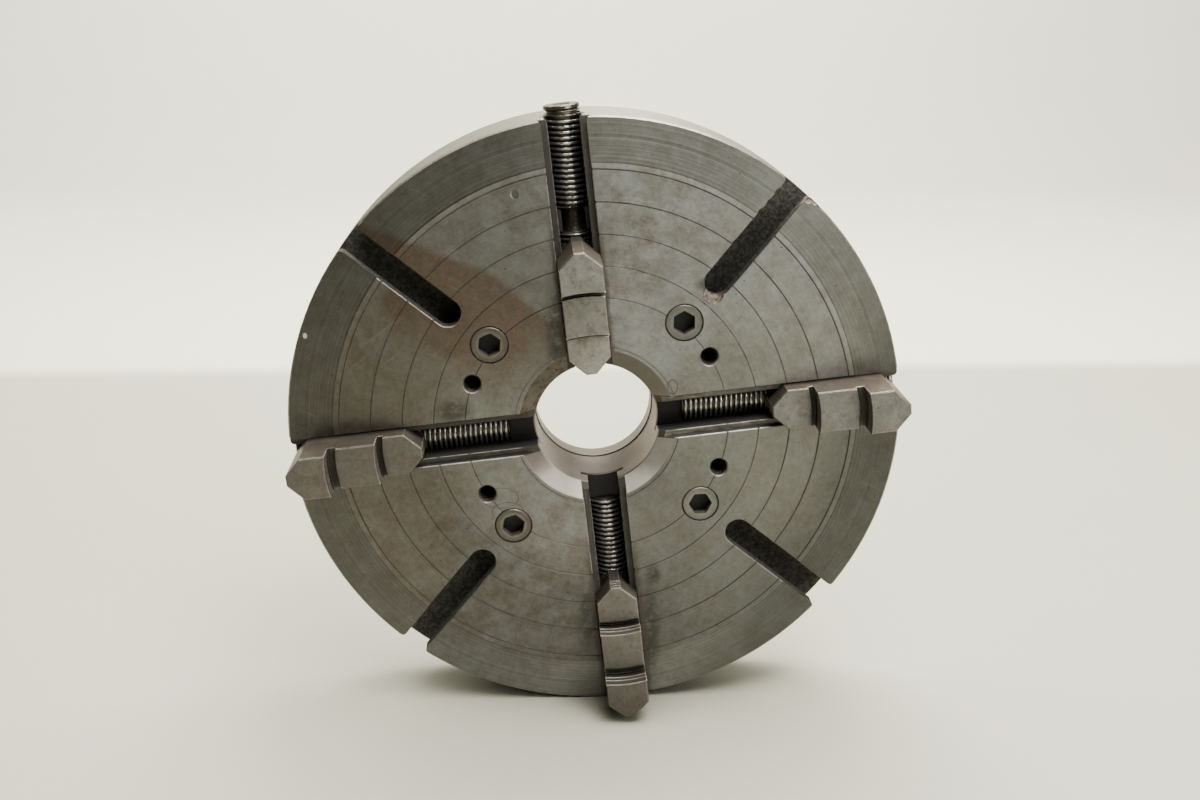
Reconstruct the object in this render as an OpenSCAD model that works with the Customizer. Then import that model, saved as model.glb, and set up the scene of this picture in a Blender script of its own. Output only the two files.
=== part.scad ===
// Four-jaw independent lathe chuck on a spindle adapter plate, standing on its rim.
// Built in chuck coordinates: z along the spindle axis towards the work, z = 0 at the
// spindle seat. The last step turns it so that the axis lies along Y, the working face
// looks along -Y and +Z is up.

/* [Body] */
// Outer diameter of the chuck body
body_d = 500; // [480:2:520]
// Thickness of the chuck body at its rim
body_t = 75; // [70:1:85]
// Diameter of the through bore in the body
bore_d = 102; // [90:1:104]
// Diameter of the mouth of the bore chamfer
mouth_d = 130; // [124:1:134]
// Depth of the bore chamfer
mouth_depth = 9; // [5:0.5:12]
// Diameter where the finely turned outer band begins
band_d = 427.6; // [424:0.2:432]
// Turn of the whole chuck about its axis as it stands, in degrees
clocking = 6.34; // [0:0.01:12]

/* [Jaw slots] */
// Width of a jaw slot at the face
slot_w = 35.3; // [35:0.1:37]
// Depth of the wide part of a jaw slot
slot_ledge_depth = 5; // [4:0.5:6]
// Gap between the two guide ledges
ledge_gap = 25; // [24.8:0.1:25.4]
// Width of the undercut below the ledges
undercut_w = 36; // [35.8:0.1:37]
// Depth from the face to the top of the undercut
undercut_top = 21.5; // [21:0.5:22]
// Depth from the face to the floor of the undercut
undercut_floor = 26.5; // [26:0.5:27]

/* [Clamp slots] */
// Width of a clamp slot at the face
clamp_slot_w = 22; // [20:0.5:24]
// Radius at which a clamp slot starts
clamp_slot_start = 142; // [140:1:150]
// Width of the T part of a clamp slot
clamp_tee_w = 37; // [32:0.5:38]
// Thickness of the lip over the T part
clamp_lip = 12; // [10:0.5:14]
// Full depth of a clamp slot
clamp_slot_depth = 26; // [24:0.5:28]

/* [Jaws] */
// Length of a jaw
jaw_l = 105; // [105:1:112]
// Width of a jaw above the face
jaw_w = 34.2; // [33:0.1:34.6]
// Heights of the three steps above the face
step_heights = [16, 31.3, 47];
// Positions of the two gripping risers from the inner nose
riser_at = [36, 73.8];
// Widths of the relief grooves at the feet of the risers
relief_w = [4.5, 6.5];
// Radius of each jaw's inner nose as it stands: right, top, left, bottom
nose_r = [142, 49, 142.3, 138.4];
// How far the tip of the outer nose is dressed down: right, top, left, bottom
nose_dressing = [0, 0, 1.4, 2.4];

/* [Jaw screws] */
// Outside diameter of the jaw screw thread
screw_d = 29; // [27:0.5:29.4]
// Pitch of the jaw screw thread, six threads to the inch
screw_pitch = 4.2333; // [4:0.0001:4.5]
// Depth from the face to the screw axis
screw_depth = 34; // [34:0.5:36]
// Radius of the inner end of a screw
screw_start = 72.5; // [72.5:0.5:76]
// Radius of the outer ends of the screws: right, top, left, bottom
screw_end = [249.5, 257, 249.5, 249.5];
// Inner and outer radius of the plain neck that takes the thrust
neck_span = [157.5, 176];
// Diameter of the neck
neck_d = 19; // [16:0.5:20]
// Side of the square key socket
key_square = 13; // [11:0.5:14]

/* [Adapter plate] */
// Outer diameter of the adapter plate
adapter_d = 280; // [264:1:290]
// Thickness of the adapter plate
adapter_t = 34; // [30:1:38]
// Depth of the body recess that takes the adapter plate
seat_depth = 7; // [5:0.5:9]
// Bore of the adapter plate
adapter_bore_d = 100; // [90:1:101]
// Largest diameter of the tapered spindle register
register_d = 139.72; // [130:0.01:140]
// Depth of the tapered spindle register
register_depth = 16; // [14:0.5:18]
// Pitch circle of the spindle studs
stud_pcd = 171.4; // [168:0.1:176]

/* [Mounting screws] */
// Pitch circle of the four mounting screws
mount_pcd = 222; // [216:1:226]
// Nominal diameter of a mounting screw
mount_d = 20; // [18:1:20]
// Head diameter of a mounting screw
mount_head_d = 30; // [28:0.5:30]
// Width across flats of the hexagon socket
mount_socket = 17; // [14:1:17]
// Turn of each tightened screw about its own axis, in degrees
mount_turn = [-21, 3, 27, -19];

/* [Threaded holes] */
// Radius of the circle of the threaded holes in the face
face_hole_r = 107.6; // [106:0.1:110]
// Angle of a threaded hole from the nearest horizontal jaw slot
face_hole_angle = 26.4; // [24:0.1:28]
// Core diameter of a threaded hole
face_hole_core = 14; // [12:0.5:14]

/* [Hidden] */
PLACES = ["right", "top", "left", "bottom"];

$fn = 96;
cut = 1; // how far a cutting shape reaches past the surface it opens
half_turn = 180;

// Heights along the spindle axis
face_z = adapter_t + body_t - seat_depth;
rear_z = face_z - body_t;
axis_z = face_z - screw_depth;
seat_z = rear_z + seat_depth;
band_step = 0.8; // the outer band lies this much lower
ring_step = 0.4; // and so does the narrow ring around the bore
ring_w = 2.5;
body_r = body_d / 2;
rim_chamfer = 1.3;
rear_chamfer = 2;

// Scribed setting circles, one inch apart
scribe_first = 107.6;
scribe_gap = 25.4;
scribe_w = 0.9;
scribe_depth = 0.6;

// Edge breaks
slot_break = 0.7;
ledge_break = 0.5;
jaw_break = 0.8;
mouth_round = 4; // plan radius of the corners where a slot meets the rim
chip_r = 5;
end_chip_r = 9;
rim_chips = [[248, -12.5, 4], [249.5, -18, 3.2]]; // place along and across the slot, radius
edge_chips = [[186, 1.2], [194, 0.8], [205, 1], [217, 1.4], [227, 0.9], [237, 1.2]]; // place, reach

// Jaw outline
nose_half = 4;
nose_in_l = 13;
nose_out_l = 12.5;
grip_r = 96; // radius of the concave risers
relief_depth = 4;
foot_play = 0.3;
side_play = 0.2;
groove_heights = [4, 9]; // serration grooves, above the step below
nose_groove_heights = [4, 8.2, 12.4];
groove_w = 1.5;
groove_depth = 1;

// Jaw screw details
thread_depth = 2.3;
thread_mouth = 0.72 * screw_pitch; // groove width at the crests
thread_root = 0.28 * screw_pitch; // and at the root
screw_chamfer = 1.5;
trough_play = 0.5;
nut_play = 0.3;
key_depth = 18;

// Thrust block, pushed in from the rear and held by two cap screws
block_play = 0.1;
block_w = 34;
block_top = undercut_floor + 0.5;
flange_t = 10;
flange_w = 62;
flange_extra = 3;
block_screw_y = 24;
block_screw_d = 8;
block_screw_head_d = 13;
block_screw_head_h = 8;
block_screw_l = 22;
block_screw_socket = 6;
block_screw_chamfer = 0.8;
screw_hole_play = 0.5;

// Mounting screws
mount_head_h = 20;
mount_sunk = 0.3;
mount_head_z = face_z - mount_sunk - mount_head_h;
mount_tip_z = 10;
mount_bore_d = 31.4;
mount_clear_d = 22;
mount_socket_depth = 10;
mount_chamfer = 1;

// Threaded face holes
face_hole_mouth = 16.4;
face_hole_depth = 44;
face_hole_angles = [
  face_hole_angle, half_turn - face_hole_angle,
  half_turn + face_hole_angle, 2 * half_turn - face_hole_angle
];

// Spindle side of the adapter plate
register_angle = 7.125;
register_relief = 2; // short straight part at the foot of the taper
stud_core_d = 14;
adapter_rear_chamfer = 3;
adapter_fit = 0.05;

// Turns chuck coordinates into the standing part
module standing() {
  rotate([90, 0, 0]) rotate([0, 0, clocking]) children();
}

// Brings a child made along +x onto slot k
module on_slot(k) {
  rotate([0, 0, 90 * k]) children();
}

// A bar with the given (y, z) outline, running along x
module bar(from, to, outline) {
  translate([from, 0, 0]) rotate([90, 0, 90]) linear_extrude(to - from) polygon(outline);
}

// A rod along x, in the plane of the screw axis
module rod(from, to, r) {
  translate([from, 0, axis_z]) rotate([0, 90, 0]) cylinder(h = to - from, r = r);
}

// A box between two corners
module box(low, high) {
  translate(low) cube(high - low);
}

// Rounds both plan corners where a slot of half width w meets the rim
module mouth_corners(w, z_low, z_high) {
  reach = sqrt(pow(body_r - mouth_round, 2) - pow(w + mouth_round, 2));
  turn = atan2(w + mouth_round, reach);
  far = body_r + cut;
  translate([0, 0, z_low]) linear_extrude(z_high - z_low)
    for (side = [0, 1]) mirror([0, side]) difference() {
      polygon([
        [reach, w + mouth_round],
        [reach, w - cut],
        [far, w - cut],
        [far * cos(turn), far * sin(turn)]
      ]);
      translate([reach, w + mouth_round]) circle(r = mouth_round);
    }
}

// Chamfer cutter for both edges of a slot of half width w whose edges lie at height z
module slot_edges(from, w, z, size) {
  reach = size + cut;
  bar(from, body_r + cut, [
    [-w - reach, z + cut],
    [w + reach, z + cut],
    [w - cut, z - reach],
    [cut - w, z - reach]
  ]);
}

module jaw_slot_cut() {
  ledge_z = face_z - slot_ledge_depth;
  undercut_top_z = face_z - undercut_top;
  floor_z = face_z - undercut_floor;
  far = body_r + cut;
  box([0, -slot_w / 2, ledge_z], [far, slot_w / 2, face_z + cut]);
  box([0, -ledge_gap / 2, floor_z], [far, ledge_gap / 2, face_z]);
  box([0, -undercut_w / 2, floor_z], [far, undercut_w / 2, undercut_top_z]);
  rod(screw_start - trough_play, far, screw_d / 2 + trough_play);
  mouth_corners(slot_w / 2, ledge_z, face_z + cut);
  mouth_corners(ledge_gap / 2, undercut_top_z, ledge_z);
  slot_edges(0, slot_w / 2, face_z, slot_break);
  slot_edges(0, ledge_gap / 2, ledge_z, ledge_break);
}

module clamp_slot_cut() {
  x = clamp_slot_start + clamp_slot_w / 2;
  lip_z = face_z - clamp_lip;
  floor_z = face_z - clamp_slot_depth;
  far = body_r + cut;
  box([x, -clamp_slot_w / 2, floor_z], [far, clamp_slot_w / 2, face_z + cut]);
  box([x, -clamp_tee_w / 2, floor_z], [far, clamp_tee_w / 2, lip_z]);
  translate([x, 0, floor_z]) cylinder(h = clamp_slot_depth + cut, d = clamp_slot_w);
  translate([x, 0, floor_z]) cylinder(h = lip_z - floor_z, d = clamp_tee_w);
  mouth_corners(clamp_slot_w / 2, lip_z, face_z + cut);
  slot_edges(x, clamp_slot_w / 2, face_z, slot_break);
  translate([x, 0, face_z - slot_break])
    cylinder(h = slot_break + cut, r1 = clamp_slot_w / 2, r2 = clamp_slot_w / 2 + slot_break + cut);
}

// Chips knocked out of the upper right clamp slot: along its edge, at its blind end and at the rim
module clamp_slot_chips() {
  for (chip = edge_chips)
    translate([chip[0], clamp_slot_w / 2 + chip[1] - chip_r, face_z]) sphere(r = chip_r);
  translate([clamp_slot_start + 1.5, -3, face_z + end_chip_r / 3]) sphere(r = end_chip_r);
  for (chip = rim_chips)
    translate([chip[0], chip[1], face_z]) sphere(r = chip[2]);
}

module thrust_pocket_cut() {
  low_x = neck_span[0] - block_play / 2;
  high_x = neck_span[1] + block_play / 2;
  half = block_w / 2 + block_play;
  flange_half = flange_w / 2 + block_play;
  box([low_x, -half, rear_z - cut], [high_x, half, face_z - undercut_floor + cut / 2]);
  box(
    [low_x - flange_extra, -flange_half, rear_z - cut],
    [high_x + flange_extra, flange_half, rear_z + flange_t + block_play]
  );
  for (side = [-1, 1])
    translate([(neck_span[0] + neck_span[1]) / 2, side * block_screw_y, rear_z])
      cylinder(h = flange_t + block_screw_l, d = block_screw_d);
}

module face_hole_cut() {
  mouth_h = (face_hole_mouth - face_hole_core) / 2;
  translate([0, 0, face_z - face_hole_depth])
    cylinder(h = face_hole_depth + cut, d = face_hole_core);
  translate([0, 0, face_z - mouth_h])
    cylinder(h = mouth_h + cut, d1 = face_hole_core, d2 = face_hole_mouth + 2 * cut);
}

module mounting_hole_cut() {
  translate([0, 0, mount_head_z]) cylinder(h = face_z, d = mount_bore_d);
  translate([0, 0, rear_z]) cylinder(h = face_z, d = mount_clear_d);
}

module body_blank() {
  mouth_r = mouth_d / 2;
  ring_z = face_z - ring_step;
  band_z = face_z - band_step;
  rotate_extrude() polygon([
    [bore_d / 2, seat_z],
    [bore_d / 2, face_z - mouth_depth],
    [mouth_r, ring_z],
    [mouth_r + ring_w, ring_z],
    [mouth_r + ring_w, face_z],
    [band_d / 2, face_z],
    [band_d / 2, band_z],
    [body_r - rim_chamfer, band_z],
    [body_r, band_z - rim_chamfer],
    [body_r, rear_z + rear_chamfer],
    [body_r - rear_chamfer, rear_z],
    [adapter_d / 2 + adapter_fit, rear_z],
    [adapter_d / 2 + adapter_fit, seat_z]
  ]);
}

module scribed_circles() {
  for (n = [0:4]) translate([0, 0, face_z]) rotate_extrude()
    translate([scribe_first + n * scribe_gap, 0]) polygon([
      [-scribe_w, scribe_depth], [scribe_w, scribe_depth], [0, -scribe_depth]
    ]);
}

module chuck_body() {
  color([0.40, 0.40, 0.37]) standing() difference() {
    body_blank();
    scribed_circles();
    for (k = [0:3]) on_slot(k) {
      jaw_slot_cut();
      thrust_pocket_cut();
      rotate([0, 0, 45]) clamp_slot_cut();
      rotate([0, 0, 45]) translate([mount_pcd / 2, 0, 0]) mounting_hole_cut();
    }
    rotate([0, 0, 45]) clamp_slot_chips();
    for (angle = face_hole_angles)
      rotate([0, 0, angle]) translate([face_hole_r, 0, 0]) face_hole_cut();
  }
}

module adapter_plate() {
  register_r = register_d / 2;
  register_end = register_depth - register_relief;
  register_end_r = register_r - register_end * tan(register_angle);
  outer_r = adapter_d / 2;
  color([0.36, 0.35, 0.33]) standing() difference() {
    rotate_extrude() polygon([
      [adapter_bore_d / 2, adapter_t],
      [adapter_bore_d / 2, register_depth],
      [register_end_r, register_depth],
      [register_end_r, register_end],
      [register_r, 0],
      [outer_r - adapter_rear_chamfer, 0],
      [outer_r, adapter_rear_chamfer],
      [outer_r, adapter_t - cut],
      [outer_r - cut, adapter_t]
    ]);
    for (k = [0:3]) on_slot(k) {
      rotate([0, 0, 45]) translate([mount_pcd / 2, 0, -cut])
        cylinder(h = adapter_t + 2 * cut, d = mount_d);
      translate([stud_pcd / 2, 0, -cut])
        cylinder(h = adapter_t + 2 * cut, d = stud_core_d);
    }
  }
}

// Plan outline of a jaw, from its inner nose outwards, for a half width
function jaw_outline(half) = [
  [0, -nose_half], [nose_in_l, -half], [jaw_l - nose_out_l, -half], [jaw_l, -nose_half],
  [jaw_l, nose_half], [jaw_l - nose_out_l, half], [nose_in_l, half], [0, nose_half]
];

module jaw_layer(half, z_low, z_high) {
  translate([0, 0, z_low]) linear_extrude(z_high - z_low) polygon(jaw_outline(half));
}

// Breaks the edge from p to q at height z
module break_edge(p, q, z) {
  run = q - p;
  side = jaw_break * sqrt(2);
  translate([p[0], p[1], z]) rotate([0, 0, atan2(run[1], run[0])]) rotate([45, 0, 0])
    translate([norm(run) / 2, 0, 0]) cube([norm(run) + jaw_break, side, side], center = true);
}

module jaw_edge_breaks() {
  outline = jaw_outline(jaw_w / 2);
  z = [for (h = step_heights) face_z + h];
  lower = [riser_at[0] - relief_w[0], riser_at[1] - relief_w[1]];
  for (side = [-1, 1]) {
    y = side * jaw_w / 2;
    break_edge([0, side * nose_half], [nose_in_l, y], z[0]);
    break_edge([nose_in_l, y], [lower[0] - groove_w, y], z[0]);
    break_edge([riser_at[0], y], [lower[1] - groove_w, y], z[1]);
    break_edge([riser_at[1], y], [jaw_l - nose_out_l, y], z[2]);
    break_edge([jaw_l - nose_out_l, y], [jaw_l, side * nose_half], z[2]);
  }
  break_edge([0, -nose_half], [0, nose_half], z[0]);
  break_edge([jaw_l, -nose_half], [jaw_l, nose_half], z[2]);
}

// Clears the space in front of riser n, with its relief groove and its serrations
module step_cut(n) {
  low_z = face_z + step_heights[n];
  high_z = face_z + step_heights[n + 1];
  translate([riser_at[n] - grip_r, 0, 0]) {
    translate([0, 0, low_z]) cylinder(h = face_z, r = grip_r);
    translate([0, 0, high_z - jaw_break / 2])
      cylinder(h = jaw_break / 2 + cut, r1 = grip_r, r2 = grip_r + jaw_break / 2 + cut);
    translate([0, 0, low_z - relief_depth]) difference() {
      cylinder(h = relief_depth + cut, r = grip_r);
      translate([0, 0, -cut]) cylinder(h = relief_depth + 3 * cut, r = grip_r - relief_w[n]);
    }
    for (h = groove_heights) translate([0, 0, low_z + h]) rotate_extrude() polygon([
      [grip_r - cut, -groove_w], [grip_r - cut, groove_w], [grip_r + groove_depth, 0]
    ]);
  }
}

// Slopes the top of the outer nose down to its tip
module nose_dressing_cut(drop) {
  from = jaw_l - nose_out_l;
  top = face_z + step_heights[2];
  rotate([90, 0, 0]) linear_extrude(jaw_w + 2 * cut, center = true)
    polygon([[from, top], [jaw_l + cut, top - drop], [jaw_l + cut, top + cut], [from, top + cut]]);
}

module jaw(k) {
  foot_low = face_z - undercut_floor + foot_play;
  foot_high = face_z - undercut_top - side_play;
  color([0.47, 0.45, 0.41]) standing() on_slot(k) translate([nose_r[k], 0, 0]) difference() {
    union() {
      jaw_layer(jaw_w / 2, face_z - slot_ledge_depth + side_play, face_z + step_heights[2]);
      jaw_layer(ledge_gap / 2 - side_play, foot_low, face_z);
      jaw_layer(undercut_w / 2 - foot_play, foot_low, foot_high);
    }
    step_cut(0);
    step_cut(1);
    jaw_edge_breaks();
    if (nose_dressing[k] > 0) nose_dressing_cut(nose_dressing[k]);
    for (h = nose_groove_heights)
      box([-cut, -jaw_w, face_z + h - groove_w / 2], [groove_depth, jaw_w, face_z + h]);
    rod(-cut, jaw_l + cut, screw_d / 2 + nut_play);
  }
}

// Outline of one thread groove centred at x along the screw, for a lathe profile
function groove_outline(x) = [
  [screw_d / 2, x - thread_mouth / 2],
  [screw_d / 2 - thread_depth, x - thread_root / 2],
  [screw_d / 2 - thread_depth, x + thread_root / 2],
  [screw_d / 2, x + thread_mouth / 2]
];

// The whole grooves that fit between two positions along the screw
function grooves(from, to) = [
  for (n = [0:floor((to - from) / screw_pitch) - 1])
    for (point = groove_outline(from + (n + 0.5) * screw_pitch)) point
];

module jaw_screw(k) {
  r = screw_d / 2;
  chamfer_r = r - screw_chamfer;
  neck_r = neck_d / 2;
  end_x = screw_end[k];
  color([0.20, 0.19, 0.18]) standing() on_slot(k) translate([0, 0, axis_z]) rotate([0, 90, 0])
    difference() {
      rotate_extrude() polygon(concat(
        [[0, screw_start], [chamfer_r, screw_start], [r, screw_start + screw_chamfer]],
        grooves(screw_start + screw_chamfer, neck_span[0]),
        [[r, neck_span[0]], [neck_r, neck_span[0]], [neck_r, neck_span[1]], [r, neck_span[1]]],
        grooves(neck_span[1], end_x - screw_chamfer),
        [[r, end_x - screw_chamfer], [chamfer_r, end_x], [0, end_x]]
      ));
      translate([-key_square / 2, -key_square / 2, end_x - key_depth])
        cube([key_square, key_square, key_depth + cut]);
    }
}

module thrust_block(k) {
  low_x = neck_span[0] + block_play;
  high_x = neck_span[1] - block_play;
  mid_x = (low_x + high_x) / 2;
  neck_r = neck_d / 2 + block_play / 2;
  color([0.33, 0.32, 0.31]) standing() on_slot(k) difference() {
    union() {
      box([low_x, -block_w / 2, rear_z], [high_x, block_w / 2, face_z - block_top]);
      box(
        [low_x - flange_extra, -flange_w / 2, rear_z],
        [high_x + flange_extra, flange_w / 2, rear_z + flange_t]
      );
    }
    rod(low_x - cut, high_x + cut, neck_r);
    box([low_x - cut, -neck_r, axis_z], [high_x + cut, neck_r, face_z]);
    for (side = [-1, 1]) translate([mid_x, side * block_screw_y, rear_z - cut]) {
      cylinder(h = flange_t + 2 * cut, d = block_screw_d + screw_hole_play);
      cylinder(h = block_screw_head_h + cut, d = block_screw_head_d + 2 * screw_hole_play);
    }
  }
}

// Socket head cap screw, head at z = 0 looking along -z, shank along +z
module cap_screw(head_d, head_h, shank_d, shank_l, socket, socket_depth, chamfer) {
  difference() {
    union() {
      cylinder(h = chamfer, d1 = head_d - 2 * chamfer, d2 = head_d);
      translate([0, 0, chamfer]) cylinder(h = head_h - chamfer, d = head_d);
      cylinder(h = head_h + shank_l, d = shank_d);
    }
    translate([0, 0, -cut]) cylinder(h = socket_depth + cut, d = socket / cos(30), $fn = 6);
  }
}

module thrust_block_screws(k) {
  mid_x = (neck_span[0] + neck_span[1]) / 2;
  color([0.16, 0.16, 0.16]) standing() on_slot(k) for (side = [-1, 1])
    translate([mid_x, side * block_screw_y, rear_z]) cap_screw(
      block_screw_head_d, block_screw_head_h, block_screw_d, block_screw_l,
      block_screw_socket, block_screw_head_h / 2, block_screw_chamfer
    );
}

module mounting_screw(k) {
  shank_l = mount_head_z - mount_tip_z;
  color([0.42, 0.42, 0.40]) standing() on_slot(k) rotate([0, 0, 45])
    translate([mount_pcd / 2, 0, face_z - mount_sunk])
      rotate([0, 0, mount_turn[k]]) rotate([half_turn, 0, 0]) cap_screw(
        mount_head_d, mount_head_h, mount_d, shank_l,
        mount_socket, mount_socket_depth, mount_chamfer
      );
}

chuck_body();
adapter_plate();
for (k = [0:3]) {
  jaw(k);
  jaw_screw(k);
  thrust_block(k);
  thrust_block_screws(k);
  mounting_screw(k);
}
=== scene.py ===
"""The looks of an independent-jaw lathe chuck that stands on its rim.

Objects, lights and the camera are in metres. Shaders and the screw's profile work in millimetres.
The origin is the middle of the spindle seat, Y runs along the spindle away from the viewer, and Z
is up.
"""

import math

import bpy
from mathutils import Matrix, Vector


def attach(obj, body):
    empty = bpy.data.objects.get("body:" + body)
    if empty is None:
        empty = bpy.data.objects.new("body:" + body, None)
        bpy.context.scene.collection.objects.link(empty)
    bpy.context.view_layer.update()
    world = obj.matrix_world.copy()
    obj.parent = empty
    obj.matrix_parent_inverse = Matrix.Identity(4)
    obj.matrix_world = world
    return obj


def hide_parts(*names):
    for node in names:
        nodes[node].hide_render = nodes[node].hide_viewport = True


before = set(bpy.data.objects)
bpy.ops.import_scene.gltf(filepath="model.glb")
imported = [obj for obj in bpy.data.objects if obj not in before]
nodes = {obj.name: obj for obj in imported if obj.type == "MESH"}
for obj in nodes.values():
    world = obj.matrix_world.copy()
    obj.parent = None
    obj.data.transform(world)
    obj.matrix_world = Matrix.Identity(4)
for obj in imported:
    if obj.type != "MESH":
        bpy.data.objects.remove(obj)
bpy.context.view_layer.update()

PLACES = ("right", "top", "left", "bottom")
CLOCKING = math.radians(6.34)  # how far the right jaw slot rises above level
FACE_DEPTH = 102.0  # from the spindle seat to the working face
AXIS_DEPTH = 68.0  # from the spindle seat to the plane of the jaw screws
FLOOR_Z = -0.25  # metres; the chuck stands on its rim
WALL_PAINT_FROM = 880.0  # millimetres behind the chuck, where the floor turns paler

# The body's measures, in millimetres from the spindle axis or below the working face
BODY_R, BODY_DEPTH = 250.0, 75.0
BAND_R, BAND_DROP = 213.8, 0.8  # the finely turned outer band lies lower than the face
BORE_R, MOUTH_R = 51.0, 65.0
CIRCLE_R, CIRCLE_STEP = 107.6, 25.4  # the first scribed circle and the step to the next
JAW_SLOT_HALF, LEDGE_INSIDE, LEDGE_DEPTH = 18.5, 12.5, 5.0
CLAMP_SLOT_HALF = 18.5
TAPPED_HOLE = (96.38, 47.84)  # one of four, in axes turned with the slots
CAP_SCREW = (78.49, 78.49)
HALF_ROOT = 0.70711  # of two, to turn by 45 degrees
MILLIMETRE = 0.001

# ---------------------------------------------------------------- camera, light and floor


def add_camera():
    """The view that the photograph was taken from."""
    yaw, pitch, roll = math.radians(3.0866), math.radians(17.6579), 0.0065
    place = (-0.054445, -1.15084, 0.356870)
    forward = Vector(
        (math.sin(yaw) * math.cos(pitch), math.cos(yaw) * math.cos(pitch), -math.sin(pitch))
    )
    right = forward.cross(Vector((0, 0, 1))).normalized()
    up = right.cross(forward)
    across = right * math.cos(roll) + up * math.sin(roll)
    upward = up * math.cos(roll) - right * math.sin(roll)
    data = bpy.data.cameras.new("camera")
    data.lens, data.sensor_width, data.clip_start = 40.7265, 36.0, 0.05
    camera = bpy.data.objects.new("camera", data)
    turn = Matrix((across, upward, -forward)).transposed().to_4x4()
    camera.matrix_world = Matrix.Translation(place) @ turn
    bpy.context.scene.collection.objects.link(camera)
    bpy.context.scene.camera = camera


# name, place, what it points at, width and height, power in watts, colour
LIGHTS = (
    ("ceiling", (0.3, 0.25, 1.9), (0.1, 0.2, 0.0), (2.2, 1.0), 90.0, (1.0, 0.98, 0.92)),
    ("lamp", (0.35, -1.0, 1.7), (0.0, -0.1, 0.1), (1.4, 0.6), 45.0, (1.0, 0.985, 0.94)),
    ("window", (1.2, -1.5, 0.7), (0.1, 0.0, 0.1), (0.9, 0.8), 24.0, (1.0, 0.99, 0.95)),
    ("wall_wash", (0.0, 0.9, 2.3), (0.0, 2.9, 0.2), (4.4, 0.8), 260.0, (1.0, 0.985, 0.92)),
)
WORLD_COLOUR, WORLD_STRENGTH = (1.0, 0.99, 0.95, 1.0), 0.12


def add_area(name, place, target, size, power, colour):
    """A rectangular light that points at target."""
    data = bpy.data.lights.new(name, "AREA")
    data.shape, data.size, data.size_y = "RECTANGLE", size[0], size[1]
    data.energy, data.color = power, colour
    light = bpy.data.objects.new(name, data)
    light.location = place
    light.rotation_euler = (Vector(target) - Vector(place)).to_track_quat("-Z", "Y").to_euler()
    bpy.context.scene.collection.objects.link(light)


def add_world():
    """Faint light from all round."""
    world = bpy.data.worlds.new("world")
    bpy.context.scene.world = world
    world.use_nodes = True
    background = world.node_tree.nodes["Background"]
    background.inputs["Color"].default_value = WORLD_COLOUR
    background.inputs["Strength"].default_value = WORLD_STRENGTH


def new_object(name, vertices, faces):
    """A mesh object in the scene."""
    mesh = bpy.data.meshes.new(name)
    mesh.from_pydata(vertices, [], faces)
    mesh.validate()
    mesh.update()
    piece = bpy.data.objects.new(name, mesh)
    bpy.context.scene.collection.objects.link(piece)
    return piece


def add_floor():
    """A floor that curves up into a backdrop behind the part."""
    wide, near, back, radius, high = 8.0, -8.0, 3.6, 0.8, 5.0
    line = [(near, FLOOR_Z), (back - radius, FLOOR_Z)]
    line += [
        (back - radius + radius * math.sin(t), FLOOR_Z + radius - radius * math.cos(t))
        for t in (math.radians(15 * n) for n in range(1, 7))
    ]
    line.append((back, high))
    vertices = [(x, y, z) for y, z in line for x in (-wide, wide)]
    faces = [(2 * n, 2 * n + 1, 2 * n + 3, 2 * n + 2) for n in range(len(line) - 1)]
    floor = new_object("floor", vertices, faces)
    for polygon in floor.data.polygons:
        polygon.use_smooth = True
    return floor


# ---------------------------------------------------------------- shader graphs


class Num:
    """A number that nodes work out over the surface."""

    def __init__(self, graph, socket):
        self.graph, self.socket = graph, socket

    def __add__(self, other):
        return self.graph.math("ADD", self, other)

    __radd__ = __add__

    def __sub__(self, other):
        return self.graph.math("SUBTRACT", self, other)

    def __rsub__(self, other):
        return self.graph.math("SUBTRACT", other, self)

    def __mul__(self, other):
        return self.graph.math("MULTIPLY", self, other)

    __rmul__ = __mul__

    def __truediv__(self, other):
        return self.graph.math("DIVIDE", self, other)

    def __abs__(self):
        return self.graph.math("ABSOLUTE", self)


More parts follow.
